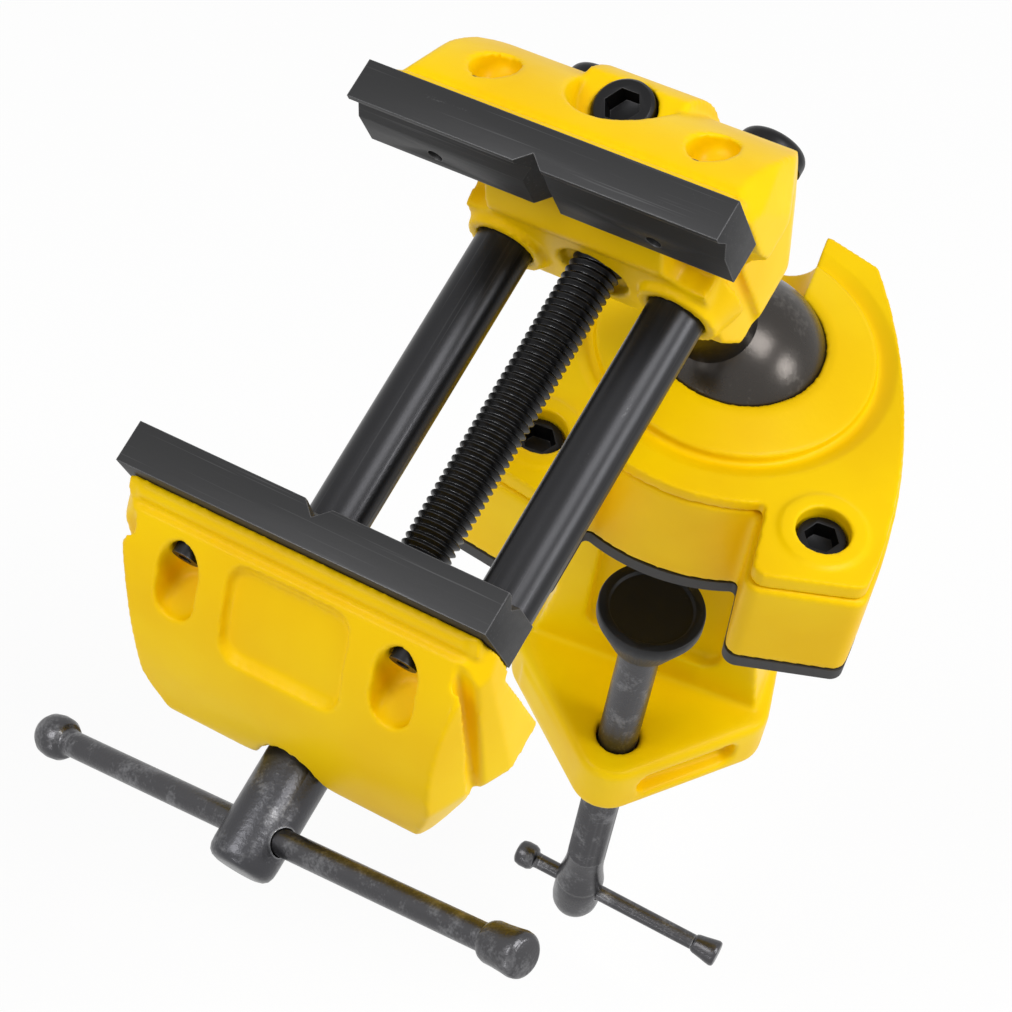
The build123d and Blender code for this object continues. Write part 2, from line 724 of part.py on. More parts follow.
def base_frame():
    # body round the ball
    body = flat_prism(socket_outline(0.8), body_bottom, seam_height)
    lobe_zone = both_sides(box_between((lobe_inner_x - 2, -40, cap_top - lobe_thickness), (60, ball_behind_clamp - front_arc_radius + 14, 60)))
    body -= lobe_zone
    # spine behind the throat, drawn from the side and trimmed from the front
    arm_top = -throat_height
    arm_bottom = arm_top - arm_thickness
    side = polygon(
        (spine_front, body_bottom), (spine_front, arm_bottom), (spine_front + spine_depth_bottom, arm_bottom),
        (spine_front + spine_depth_top, body_bottom),
    )
    face = polygon(
        (-spine_top_half, body_bottom), (spine_top_half, body_bottom), (spine_half, -15), (spine_half, arm_top + 17),
        (spine_foot_half, arm_top), (spine_foot_half, arm_bottom), (-spine_foot_half, arm_bottom),
        (-spine_foot_half, arm_top), (-spine_half, arm_top + 17), (-spine_half, -15),
    )
    spine = side_prism(side, -40, 40) & front_prism(face, 0, 80)
    arm = flat_prism(arm_outline(), arm_bottom, arm_top)
    arm = fillet(arm.edges().filter_by(Plane.XY), arm_edge_round)
    frame = body + spine + arm
    # recess down the front of the spine
    recess = Pos(0, -throat_height / 2) * RectangleRounded(
        2 * spine_recess_half, throat_height - 2 * spine_recess_margin, spine_recess_round
    )
    frame -= front_prism(recess, spine_front - 1, spine_front + spine_recess_depth)
    # slot pockets in the arm's slanted edges
    run = math.atan2(arm_shoulder_y - arm_nose_y, arm_shoulder_x)
    for side_sign in (-1, 1):
        middle_x = side_sign * (arm_shoulder_x / 2 + math.sin(run) * arm_nose_radius)
        middle_y = (arm_shoulder_y + arm_nose_y) / 2 - math.cos(run) * arm_nose_radius
        slot = Box(arm_pocket_length, 2 * arm_pocket_depth, arm_pocket_height)
        slot = fillet(slot.edges().filter_by(Axis.Y), arm_pocket_height * 0.4)
        frame -= Pos(middle_x, middle_y, (arm_top + arm_bottom) / 2) * Rot(Z=side_sign * math.degrees(run)) * slot
    # thread of the clamp screw, left as a plain bore
    frame -= upright(0, 0, arm_bottom - 1, arm_top + 1, clamp_radius + clamp_bore_clearance)
    # socket round the ball: a straight bore down to the seat ring, then a bowl under it
    socket_bore = seat_outer_radius + running_clearance
    frame -= upright(0, ball_behind_clamp, seat_bottom, ball_height, socket_bore)
    frame -= upright(0, ball_behind_clamp, ball_height, seam_height + 1, ball_radius + loose_clearance)
    frame -= Pos(*ball_place) * Sphere(ball_radius + socket_floor_clearance)
    for x, y in cap_screw_places():
        frame -= upright(x, y, cap_boss_bottom - loose_clearance, seam_height + 1, cap_boss_radius + loose_clearance)
        frame -= upright(x, y, body_bottom, cap_boss_bottom, cap_screw_radius)
    return frame - neck_trough()


# Pad under the body, cut to the same outline and ending at the spine
def rubber_pad():
    pad = flat_prism(socket_outline(0.8), 0, pad_thickness)
    return pad & box_between((-60, -60, -1), (60, spine_front, pad_thickness + 1))


# Swivel cup on top of the clamp screw
def clamp_cup():
    bore = journal_radius + running_clearance
    ring_low = cup_bottom_z + retaining_ring_rise - running_clearance
    ring_high = ring_low + retaining_ring_height + 2 * running_clearance
    ceiling = cup_bottom_z + journal_length + loose_clearance
    return turned(
        (0, cup_top_z - cup_dish_depth), (cup_dish_radius, cup_top_z - cup_dish_depth), (cup_dish_radius, cup_top_z),
        (cup_radius, cup_top_z), (cup_radius, cup_top_z - cup_rim), (cup_neck_radius, cup_bottom_z),
        (bore, cup_bottom_z), (bore, ring_low), (retaining_ring_radius + running_clearance, ring_low),
        (retaining_ring_radius + running_clearance, ring_high), (bore, ring_high), (bore, ceiling), (0, ceiling),
    )


def cup_retainer():
    low = cup_bottom_z + retaining_ring_rise
    return turned(
        (journal_groove_radius + running_clearance, low), (retaining_ring_radius, low),
        (retaining_ring_radius, low + retaining_ring_height),
        (journal_groove_radius + running_clearance, low + retaining_ring_height),
    )


def clamp_screw():
    low = cup_bottom_z + retaining_ring_rise - running_clearance
    high = low + retaining_ring_height + 2 * running_clearance
    shoulder = cup_bottom_z - running_clearance
    tip = cup_bottom_z + journal_length
    head_top = -clamp_tbar_drop + clamp_head_above_bar
    head_end = -clamp_tbar_drop - clamp_head_below_bar
    body = turned(
        (0, tip), (journal_radius, tip), (journal_radius, high), (journal_groove_radius, high),
        (journal_groove_radius, low), (journal_radius, low), (journal_radius, shoulder), (clamp_radius, shoulder),
        (clamp_radius, head_top), (clamp_head_radius, head_top - clamp_head_step), (clamp_head_radius, head_end),
        (0, head_end),
    )
    body += Pos(0, 0, head_end) * Sphere(clamp_head_radius)
    hole = Rot(Y=90) * Cylinder(clamp_tbar_radius + running_clearance, 4 * clamp_head_radius)
    return body - Pos(0, 0, -clamp_tbar_drop) * Rot(Z=clamp_tbar_turn) * hole


# Where the head frame and the ball's own frame stand in the vise
ball_frame = Pos(*ball_place) * Rot(Z=lean_azimuth) * Rot(Y=lean)
head_frame = ball_frame * Rot(Z=head_turn) * Pos(0, -stem_behind_gap, ball_drop)

pieces = {
    "base_frame": base_frame(),
    "socket_cap": socket_cap(),
    "cap_screws": cap_screws(),
    "rubber_pad": rubber_pad(),
    "ball_seat": ball_seat(),
    "clamp_cup": clamp_cup(),
    "cup_retainer": cup_retainer(),
    "clamp_screw": clamp_screw(),
    "clamp_tbar": clamp_bar_place() * bar(clamp_tbar_radius, clamp_tbar_length, clamp_knob_length),
    "clamp_tbar_ends": clamp_bar_place() * bar_knobs(
        clamp_knob_neck_radius, clamp_knob_radius, clamp_tbar_length, clamp_knob_length, clamp_knob_round
    ),
    "ball": ball_frame * ball(),
    "ball_screw": ball_frame * ball_screw(),
}
head_pieces = {
    "stem": stem(),
    "head_bolt": head_bolt(),
    "fixed_jaw": fixed_jaw(),
    "fixed_jaw_plate": jaw_plate(),
    "fixed_plate_screws": plate_screws(),
    "moving_jaw": moving_jaw(),
    "moving_jaw_plate": facing(jaw_plate()),
    "moving_plate_screws": facing(plate_screws()),
    "guide_rod_left": guide_rod(-rod_x),
    "guide_rod_right": guide_rod(rod_x),
    "rod_pins": rod_pins(),
    "rod_stop_screws": rod_stops(),
    "main_screw": main_screw(),
    "screw_retainer": screw_retainer(),
    "thrust_washer": thrust_washer(),
    "main_tbar": main_bar_place() * bar(tbar_radius, tbar_length, knob_length),
    "main_tbar_ends": main_bar_place() * bar_knobs(knob_neck_radius, knob_radius, tbar_length, knob_length, knob_round),
}
for name, piece in head_pieces.items():
    pieces[name] = head_frame * piece

os.makedirs("parts", exist_ok=True)
for name, piece in pieces.items():
    export_step(piece, f"parts/{name}.step")
    print(name, len(piece.solids()), round(piece.volume))
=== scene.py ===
import json
import math

import bpy
from mathutils import Matrix, Vector


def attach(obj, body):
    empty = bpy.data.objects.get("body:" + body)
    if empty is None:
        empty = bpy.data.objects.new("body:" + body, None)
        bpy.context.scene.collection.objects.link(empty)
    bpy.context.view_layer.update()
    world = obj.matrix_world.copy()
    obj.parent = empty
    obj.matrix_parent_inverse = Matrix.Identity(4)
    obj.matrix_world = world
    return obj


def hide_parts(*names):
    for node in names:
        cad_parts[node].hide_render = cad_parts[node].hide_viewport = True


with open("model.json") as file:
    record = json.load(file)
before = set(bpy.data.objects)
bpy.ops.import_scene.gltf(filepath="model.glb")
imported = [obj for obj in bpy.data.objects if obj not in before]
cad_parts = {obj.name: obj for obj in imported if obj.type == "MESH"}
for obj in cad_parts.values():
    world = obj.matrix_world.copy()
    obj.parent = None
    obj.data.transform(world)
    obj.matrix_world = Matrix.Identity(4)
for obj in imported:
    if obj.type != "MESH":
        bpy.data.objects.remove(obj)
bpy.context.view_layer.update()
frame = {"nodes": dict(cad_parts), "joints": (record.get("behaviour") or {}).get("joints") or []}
nodes = frame["nodes"]
joints = {joint["name"]: joint for joint in frame["joints"]}
print("loaded the vise,", len(nodes), "nodes")

# The head's own frame: X along the jaws, Y from the moving jaw to the fixed one, Z up its stem.
# It starts at the top edge of the fixed plate, in the middle of the gripping face.
headSizes = {"stemBehindGap": 0.0252, "ballDrop": 0.1231, "screwDrop": 0.044}
headY = Vector(joints["jaw_slide"]["axis"]).normalized()
headZ = Vector(joints["head_turn"]["axis"]).normalized()
headX = headY.cross(headZ).normalized()
headTurn = Matrix((headX, headY, headZ)).transposed()
headEuler = tuple(headTurn.to_euler())
ballCentre = Vector(joints["head_turn"]["pos_m"])
headPlace = ballCentre - headSizes["stemBehindGap"] * headY + headSizes["ballDrop"] * headZ
headFrame = Matrix.Translation(headPlace) @ headTurn.to_4x4()
mergeGap = 0.000002


# Everything off, so that an operator acts only on what is picked next
def deselectAll():
    if bpy.context.object and bpy.context.object.mode != "OBJECT":
        bpy.ops.object.mode_set(mode="OBJECT")
    bpy.ops.object.select_all(action="DESELECT")


def pick(piece):
    deselectAll()
    piece.select_set(True)
    bpy.context.view_layer.objects.active = piece


# Edit mode with all of a piece picked, or none of it
def edit(piece, action="SELECT"):
    pick(piece)
    bpy.ops.object.mode_set(mode="EDIT")
    bpy.ops.mesh.select_all(action=action)


def leaveEdit():
    bpy.ops.object.mode_set(mode="OBJECT")


def settle(piece):
    pick(piece)
    bpy.ops.object.transform_apply(location=True, rotation=True, scale=True)


# A modifier added, set and applied at once
def applied(piece, kind, **settings):
    modifier = piece.modifiers.new(kind.lower(), kind)
    for name, value in settings.items():
        setattr(modifier, name, value)
    pick(piece)
    bpy.ops.object.modifier_apply(modifier=modifier.name)


def shadedTo(piece, degrees):
    pick(piece)
    bpy.ops.object.shade_smooth_by_angle(angle=math.radians(degrees))


# The frame of a piece that points along a direction at a place, both given in another frame
def pointing(place, direction, within=None):
    turn = Vector(direction).to_track_quat("Z", "Y").to_matrix().to_4x4()
    return (within or Matrix.Identity(4)) @ Matrix.Translation(Vector(place)) @ turn


def putIn(piece, place):
    piece.matrix_world = place
    settle(piece)


def outwards(piece):
    edit(piece)
    bpy.ops.mesh.normals_make_consistent(inside=False)
    leaveEdit()


# A line drawn from point to point, left in edit mode with its last point picked
def drawnLine(name, points):
    deselectAll()
    bpy.ops.mesh.primitive_plane_add(size=0.002)
    piece = bpy.context.object
    piece.name = name
    bpy.ops.object.mode_set(mode="EDIT")
    bpy.ops.mesh.select_all(action="SELECT")
    bpy.ops.mesh.merge(type="CENTER")
    bpy.ops.transform.translate(value=Vector(points[0]))
    for start, end in zip(points, points[1:]):
        step = Vector(end) - Vector(start)
        bpy.ops.mesh.extrude_vertices_move(TRANSFORM_OT_translate={"value": step})
    return piece


# A profile of (radius, height) turned round Z; with a pitch it climbs as a screw
def turned(name, profile, steps=48, pitch=0.0, turns=1):
    piece = drawnLine(name, [(radius, 0, height) for radius, height in profile])
    leaveEdit()
    applied(
        piece, "SCREW", axis="Z", angle=math.tau, steps=steps, render_steps=steps, screw_offset=pitch,
        iterations=turns, use_merge_vertices=True, merge_threshold=mergeGap, use_smooth_shade=False,
    )
    return piece


# A profile written in millimetres, as the knobs and the screws' heads are
def inMetres(profile):
    return [(radius / 1000, height / 1000) for radius, height in profile]


# An outline drawn in XY and pulled up along Z
def prism(name, outline, height):
    piece = drawnLine(name, [(x, y, 0) for x, y in outline])
    bpy.ops.mesh.select_all(action="SELECT")
    bpy.ops.mesh.edge_face_add()
    bpy.ops.mesh.extrude_region_move(TRANSFORM_OT_translate={"value": (0, 0, height)})
    outwards(piece)
    return piece


def drum(name, radius, height, place):
    deselectAll()
    bpy.ops.mesh.primitive_cylinder_add(radius=radius, depth=height, vertices=64)
    piece = bpy.context.object
    piece.name = name
    putIn(piece, place)
    return piece


def copyOf(piece, name):
    twin = piece.copy()
    twin.data = piece.data.copy()
    twin.name = name
    bpy.context.scene.collection.objects.link(twin)
    return twin


# A node's mesh in a piece of its own, its loose triangles merged
def nodeCopy(nodeName, name):
    piece = copyOf(nodes[nodeName], name)
    for key in list(piece.keys()):
        del piece[key]
    piece.parent = None
    edit(piece)
    bpy.ops.mesh.remove_doubles(threshold=mergeGap)
    leaveEdit()
    return piece


# A tool cut away from a piece, or all but the inside of the tool, and the tool thrown away
def cutBy(piece, tool, how="DIFFERENCE"):
    applied(piece, "BOOLEAN", object=tool, operation=how, solver="EXACT")
    bpy.data.objects.remove(tool)


# A tool drawn at the origin, put in its place and cut away
def cutAt(piece, tool, place):
    putIn(tool, place)
    outwards(tool)
    cutBy(piece, tool)


# Everything on the far side of a plane removed, and the cut closed
def cutOff(piece, place, direction):
    edit(piece)
    bpy.ops.mesh.bisect(plane_co=place, plane_no=direction, use_fill=True, clear_outer=True)
    leaveEdit()


def joined(first, *others):
    deselectAll()
    for piece in (first, *others):
        piece.select_set(True)
    bpy.context.view_layer.objects.active = first
    bpy.ops.object.join()
    return first


# A socket in an expression: sums, differences and products add Math nodes
class Amount:
    def __init__(self, maker, socket):
        self.maker = maker
        self.socket = socket

    def maths(self, operation, first, second):
        return self.maker.make("ShaderNodeMath", {"operation": operation}, {0: first, 1: second})

    def __add__(self, other):
        return self.maths("ADD", self, other)

    def __radd__(self, other):
        return self.maths("ADD", other, self)

    def __sub__(self, other):
        return self.maths("SUBTRACT", self, other)

    def __rsub__(self, other):
        return self.maths("SUBTRACT", other, self)

    def __mul__(self, other):
        return self.maths("MULTIPLY", self, other)

    def __rmul__(self, other):
        return self.maths("MULTIPLY", other, self)


def larger(first, second):
    return first.maths("MAXIMUM", first, second)


# A tree of shader nodes, and the one method that adds to it
class NodeMaker:
    def __init__(self, tree):
        self.tree = tree

    def make(self, kind, settings=None, inputs=None, output=0):
        node = self.tree.nodes.new(kind)
        for name, value in (settings or {}).items():
            setattr(node, name, value)
        for name, value in (inputs or {}).items():
            if isinstance(value, Amount):
                self.tree.links.new(value.socket, node.inputs[name])
            else:
                node.inputs[name].default_value = value
        return Amount(self, node.outputs[output])


shaderSockets = {
    "colour": "Base Color",
    "metal": "Metallic",
    "roughness": "Roughness",
    "normal": "Normal",
    "coat": "Coat Weight",
    "coatRoughness": "Coat Roughness",
    "specular": "Specular IOR Level",
}


class Finish(NodeMaker):
    def __init__(self, name):
        self.material = bpy.data.materials.new(name)
        self.material.use_nodes = True
        super().__init__(self.material.node_tree)
        self.shader = self.tree.nodes["Principled BSDF"]
        self.place = self.make("ShaderNodeTexCoord", output="Object")

    def set(self, **values):
        for name, value in values.items():
            socket = self.shader.inputs[shaderSockets[name]]
            if isinstance(value, Amount):
                self.tree.links.new(value.socket, socket)
            else:
                socket.default_value = value

    # Noise drawn out along the head's directions, so many times longer than it is wide
    def noise(self, scale, detail=4.0, roughness=0.5, drawn=(1, 1, 1)):
        where = self.make(
            "ShaderNodeMapping", {"vector_type": "TEXTURE"},
            {"Vector": self.place, "Rotation": headEuler, "Scale": drawn},
        )
        return self.make(
            "ShaderNodeTexNoise", {},
            {"Vector": where, "Scale": scale, "Detail": detail, "Roughness": roughness},
        )

    def blend(self, share, first, second):
        return self.make(
            "ShaderNodeMix", {"data_type": "RGBA"}, {0: share, 6: first, 7: second}, output=2
        )

    def ramp(self, value, low, high):
        return self.make(
            "ShaderNodeMapRange", {"clamp": True}, {"Value": value, "From Min": low, "From Max": high}
        )

    def bump(self, height, strength, distance):
        return self.make(
            "ShaderNodeBump", {}, {"Height": height, "Strength": strength, "Distance": distance}
        )


def colour(red, green, blue):
    return (red, green, blue, 1.0)


enamel = {
    "colour": (0.90, 0.60, 0.0),
    "deepColour": (0.84, 0.51, 0.0),
    "driftScale": 32,
    "driftRange": (0.35, 0.7),
    "peelScale": 900,
    "peelShare": 0.30,
    "castScale": 130,
    "relief": 0.20,
    "reliefDepth": 0.00035,
    "roughness": 0.32,
    "driftRoughness": 0.10,
    "castRoughness": 0.06,
    "specular": 0.10,
    "coat": 0.03,
    "coatRoughness": 0.12,
}


# Thick glossy paint over a sand casting: orange peel, slow waves, a deeper colour in patches
def yellowEnamel():
    finish = Finish("yellowEnamel")
    drift = finish.ramp(finish.noise(enamel["driftScale"], 3), *enamel["driftRange"])
    peel = finish.noise(enamel["peelScale"], 2)
    cast = finish.noise(enamel["castScale"], 4, 0.55)
    relief = finish.bump(peel * enamel["peelShare"] + cast, enamel["relief"], enamel["reliefDepth"])
    finish.set(
        colour=finish.blend(drift, colour(*enamel["colour"]), colour(*enamel["deepColour"])),
        roughness=enamel["roughness"] + enamel["driftRoughness"] * drift + enamel["castRoughness"] * cast,
        normal=relief,
        specular=enamel["specular"],
        coat=enamel["coat"],
        coatRoughness=enamel["coatRoughness"],
    )
    return finish.material


# What all blackened steels share: how the mottle and the fine grain mix, where it is rubbed bright, and how
# much its edges are lightened, partly as wear and partly as a painted highlight
steelWear = {
    "fineTimes": 9, "mottleShare": 0.7, "fineShare": 0.3, "rubbedRange": (0.62, 0.78), "rubbedShare": 0.55,
    "edgeRange": (0.02, 0.16), "edgeWearAndGlint": 0.8, "markTimes": 5, "markLength": 8, "markRange": (0.62, 0.74),
    "metal": 0.9, "mottleRoughness": 0.16, "edgeSmoothness": 0.08,
    "mottleRelief": 0.6, "fineRelief": 0.4, "reliefDepth": 0.0002,
}


# How much a spot lies on an edge: a rounded normal turned away from the true one. It lightens edges and
# thread crests, partly as wear and partly as a painted highlight
def edgeWearAndGlint(finish, width):
    rounded = finish.make("ShaderNodeBevel", {"samples": 6}, {"Radius": width})
    true = finish.make("ShaderNodeNewGeometry", output="Normal")
    agree = finish.make(
        "ShaderNodeVectorMath", {"operation": "DOT_PRODUCT"}, {0: rounded, 1: true}, output="Value"
    )
    return finish.ramp(1 - agree, *steelWear["edgeRange"])


# Blackened steel: a dark film, mottled, rubbed brighter in patches and in lengthwise marks; its edges and
# thread crests are lighter too, partly from wear and partly as a painted highlight
def blackSteel(
    name, dark, wornAndGlint, roughness, wornShare, grain, edgeWidth, relief, drawn=(1, 1, 1), marks=0.0
):
    wear = steelWear
    finish = Finish(name)
    mottle = finish.noise(grain, 6, 0.6, drawn)
    fine = finish.noise(grain * wear["fineTimes"], 3, 0.6)
    rubbedLow, rubbedHigh = (bound - wornShare for bound in wear["rubbedRange"])
    rubbed = finish.ramp(mottle * wear["mottleShare"] + fine * wear["fineShare"], rubbedLow, rubbedHigh)
    # The edges' lighter colour is partly wear and partly a painted highlight: the glints along edges and
    # thread crests
    edge = edgeWearAndGlint(finish, edgeWidth)
    share = larger(rubbed * wear["rubbedShare"], edge * wear["edgeWearAndGlint"])
    if marks:
        markDrawn = tuple(wear["markLength"] * part if part > 1 else 1 for part in drawn)
        lines = finish.noise(grain * wear["markTimes"], 2, 0.5, markDrawn)
        share = larger(share, finish.ramp(lines, *wear["markRange"]) * marks)
    finish.set(
        colour=finish.blend(share, colour(*dark), colour(*wornAndGlint)),
        metal=wear["metal"],
        roughness=roughness + wear["mottleRoughness"] * mottle - wear["edgeSmoothness"] * edge,
        normal=finish.bump(
            mottle * wear["mottleRelief"] + fine * wear["fineRelief"], relief, wear["reliefDepth"]
        ),
    )
    return finish.material


# Each steel's lighter colour serves its rubbed patches and marks, and the painted highlight on its edges
steels = {
    "rodSteel": {
        "dark": (0.028, 0.028, 0.030), "wornAndGlint": (0.14, 0.14, 0.145), "roughness": 0.26, "wornShare": 0.0,
        "grain": 300, "edgeWidth": 0.0004, "relief": 0.12, "drawn": (1, 9, 1), "marks": 0.2,
    },
    "plateSteel": {
        "dark": (0.038, 0.038, 0.039), "wornAndGlint": (0.22, 0.22, 0.225), "roughness": 0.46, "wornShare": -0.03,
        "grain": 420, "edgeWidth": 0.0004, "relief": 0.14, "drawn": (9, 1, 1), "marks": 0.18,
    },
    "forgedSteel": {
        "dark": (0.072, 0.071, 0.075), "wornAndGlint": (0.28, 0.28, 0.29), "roughness": 0.22, "wornShare": 0.11,
        "grain": 180, "edgeWidth": 0.0007, "relief": 0.8,
    },
    "headSteel": {
        "dark": (0.062, 0.062, 0.067), "wornAndGlint": (0.30, 0.30, 0.31), "roughness": 0.24, "wornShare": 0.09,
        "grain": 150, "edgeWidth": 0.0008, "relief": 0.8,
    },
    "screwSteel": {
        "dark": (0.020, 0.020, 0.021), "wornAndGlint": (0.36, 0.36, 0.37), "roughness": 0.30, "wornShare": 0.0,
        "grain": 500, "edgeWidth": 0.0002, "relief": 0.12,
    },
    "boltSteel": {
        "dark": (0.018, 0.018, 0.019), "wornAndGlint": (0.12, 0.12, 0.125), "roughness": 0.32, "wornShare": 0.0,
        "grain": 400, "edgeWidth": 0.0003, "relief": 0.12,
    },
    "cupSteel": {
        "dark": (0.032, 0.032, 0.033), "wornAndGlint": (0.15, 0.15, 0.155), "roughness": 0.42, "wornShare": 0.0,
        "grain": 300, "edgeWidth": 0.0005, "relief": 0.12,
    },
    "ballSteel": {
        "dark": (0.052, 0.047, 0.043), "wornAndGlint": (0.19, 0.175, 0.16), "roughness": 0.19, "wornShare": 0.05,
        "grain": 90, "edgeWidth": 0.0004, "relief": 0.35,
    },
}

plainFinishes = {
    "padRubber": {
        "base": (0.022, 0.021, 0.021), "metal": 0.0, "roughness": 0.55, "grain": 700, "relief": 0.3,
    },
    "zincSteel": {
        "base": (0.50, 0.51, 0.53), "metal": 1.0, "roughness": 0.30, "grain": 300, "relief": 0.1,
    },
    "bronze": {
        "base": (0.50, 0.33, 0.14), "metal": 1.0, "roughness": 0.32, "grain": 300, "relief": 0.1,
    },
}
plainMottle = {"lighter": 1.35, "range": (0.35, 0.65), "roughness": 0.12, "reliefDepth": 0.0002}


def plainFinish(name, base, metal, roughness, grain, relief):
    finish = Finish(name)
    mottle = finish.noise(grain, 5, 0.6)
    light = tuple(min(1.0, part * plainMottle["lighter"]) for part in base)
    finish.set(
        colour=finish.blend(finish.ramp(mottle, *plainMottle["range"]), colour(*base), colour(*light)),
        metal=metal,
        roughness=roughness + plainMottle["roughness"] * mottle,
        normal=finish.bump(mottle, relief, plainMottle["reliefDepth"]),
    )
    return finish.material


materials = {"yellowEnamel": yellowEnamel()}
for steelName, steelValues in steels.items():
    materials[steelName] = blackSteel(steelName, **steelValues)
for plainName, plainValues in plainFinishes.items():
    materials[plainName] = plainFinish(plainName, **plainValues)
print("made", len(materials), "finishes")

nodeFinish = {
    "base_frame": "yellowEnamel", "socket_cap": "yellowEnamel", "fixed_jaw": "yellowEnamel",
    "moving_jaw": "yellowEnamel", "rubber_pad": "padRubber", "ball": "ballSteel", "stem": "ballSteel",
    "guide_rod_left": "rodSteel", "guide_rod_right": "rodSteel", "fixed_jaw_plate": "plateSteel",
    "moving_jaw_plate": "plateSteel", "main_screw": "screwSteel", "main_tbar": "forgedSteel",
    "main_tbar_ends": "forgedSteel", "clamp_screw": "forgedSteel", "clamp_tbar": "forgedSteel",
    "clamp_tbar_ends": "forgedSteel", "clamp_cup": "cupSteel", "cap_screws": "boltSteel",
    "head_bolt": "boltSteel", "rod_stop_screws": "boltSteel", "fixed_plate_screws": "boltSteel",
    "moving_plate_screws": "boltSteel", "screw_retainer": "boltSteel", "ball_screw": "zincSteel",
    "cup_retainer": "zincSteel", "rod_pins": "zincSteel", "ball_seat": "bronze", "thrust_washer": "bronze",
}
for nodeName, finishName in nodeFinish.items():
    for materialSlot in nodes[nodeName].material_slots:
        materialSlot.material = materials[finishName]
print("dressed the nodes")


def dress(piece, finishName):
    piece.data.materials.clear()
    piece.data.materials.append(materials[finishName])


# The body that a new piece rides on, and the node that it stands for
def finished(piece, body, nodeName):
    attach(piece, body)
    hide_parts(nodeName)
    print(piece.name, len(piece.data.polygons), "faces")


# The arm's left side is plain in the real casting, so its slot is closed there
baseDetail = {
    "slotMiddle": (-0.01634, 0.00345, -0.0867), "slotTurn": -43.75, "slotSize": (0.0266, 0.0045, 0.0084),
}


def baseDetails(skin):
    deselectAll()
    bpy.ops.mesh.primitive_cube_add(size=1)
    fill = bpy.context.object
    fill.scale = baseDetail["slotSize"]
    fill.rotation_euler = (0, 0, math.radians(baseDetail["slotTurn"]))
    fill.location = baseDetail["slotMiddle"]
    settle(fill)
    joined(skin, fill)


# The step round the cap's collar, cut a little deeper, with a ramp out of it
capDetail = {
    "place": (0, 0.0295, 0.0315), "collar": 0.0298, "groove": 0.0014, "grooveWidth": 0.0012,
    "rampEnd": 0.0345, "rampTop": 0.0001, "clear": 0.003,
}


def capDetails(skin):
    sizes = capDetail
    collar, groove, clear = sizes["collar"], sizes["groove"], sizes["clear"]
    ring = turned("collarTool", [
        (collar, clear), (collar, -groove), (collar + sizes["grooveWidth"], -groove),
        (sizes["rampEnd"], sizes["rampTop"]), (sizes["rampEnd"], clear), (collar, clear),
    ], 96)
    cutAt(skin, ring, Matrix.Translation(Vector(sizes["place"])))


# The jaws' own details, in the head's frame: drops are below the top edge of the plates
fixedDetail = {
    "pocketX": 0.0228, "pocketY": 0.0208, "pocketRadius": 0.0044, "pocketDrop": 0.0185,
    "pocketRound": 0.0028,
    "bossX": 0.01875, "bossRadius": 0.0076, "bossFoot": 0.0104, "bossFront": 0.0011, "bossBack": 0.0085,
    "bore": 0.00605,
    "browHalf": 0.019, "browTop": 0.014, "browDrop": 0.035, "browBack": 0.0079, "browRound": 0.004,
    "browSide": 0.045, "browReach": 0.012,
    "wingHalf": 0.0262, "wingTop": 0.019, "wingEdge": 0.0075, "wingFront": 0.008, "wingStep": 0.004,
    "wingBottom": 0.033, "wingLow": 0.064, "wingReach": 0.02,
}


# Tools are drawn for the head's right half, and mirrored for its left
def mirrored(side):
    return Matrix.Diagonal((side, 1, 1, 1))


# A tool drawn as seen from the side and pulled out along the jaws. Its Y is the height, and its X
# the depth away from the gripping face: away is 1 on the fixed jaw and -1 on the moving one.
def fromSide(side, across, depth, away):
    turn = Matrix(((0, 0, 1, 0), (away, 0, 0, 0), (0, 1, 0, 0), (0, 0, 0, 1)))
    return headFrame @ mirrored(side) @ Matrix.Translation((across, depth, 0)) @ turn


def cutPocket(skin, place, sizes):
    upright = pointing(place, (0, 0, 1), headFrame)
    pocket = drum("pocketTool", sizes["pocketRadius"], 2 * sizes["pocketDrop"], upright)
    applied(pocket, "BEVEL", width=sizes["pocketRound"], segments=4, limit_method="ANGLE")
    cutBy(skin, pocket)


# The block's front cut back beside the brow, above the rod bosses
def cutBrow(skin, side):
    sizes = fixedDetail
    half, drop, corner = sizes["browHalf"], sizes["browDrop"], sizes["browRound"]
    brow = prism("browTool", [
        (half, -sizes["browTop"]), (sizes["browSide"], -sizes["browTop"]), (sizes["browSide"], -drop),
        (half + corner, -drop), (half + 0.3 * corner, -drop + 0.3 * corner), (half, -drop + corner),
    ], sizes["browReach"])
    back = Matrix.Translation((0, sizes["browBack"], 0))
    cutAt(skin, brow, headFrame @ back @ Matrix.Rotation(math.radians(90), 4, "X") @ mirrored(side))


# The step that sets the wings back beside the block
def cutWing(skin, side):
    sizes = fixedDetail
    stepped = sizes["wingFront"] + sizes["wingStep"]
    step = prism("wingTool", [
        (sizes["wingEdge"], -sizes["wingTop"]), (sizes["wingFront"], -sizes["wingTop"]),
        (stepped, -sizes["wingBottom"]), (stepped, -sizes["wingLow"]), (0.0, -sizes["wingLow"]),
    ], sizes["wingReach"])
    cutAt(skin, step, fromSide(side, sizes["wingHalf"], 0, 1))


# The conical boss that a guide rod runs through
def addBoss(skin, side):
    sizes = fixedDetail
    bore, reach = sizes["bore"], sizes["bossBack"] - sizes["bossFront"]
    boss = turned("bossShell", [
        (bore, 0), (sizes["bossRadius"], 0), (sizes["bossFoot"], reach), (bore, reach), (bore, 0),
    ])
    place = (side * sizes["bossX"], sizes["bossFront"], -headSizes["screwDrop"])
    putIn(boss, pointing(place, (0, 1, 0), headFrame))
    outwards(boss)
    joined(skin, boss)


def fixedDetails(skin):
    for side in (-1, 1):
        cutPocket(skin, (side * fixedDetail["pocketX"], fixedDetail["pocketY"], 0), fixedDetail)
        cutBrow(skin, side)
        cutWing(skin, side)
        addBoss(skin, side)


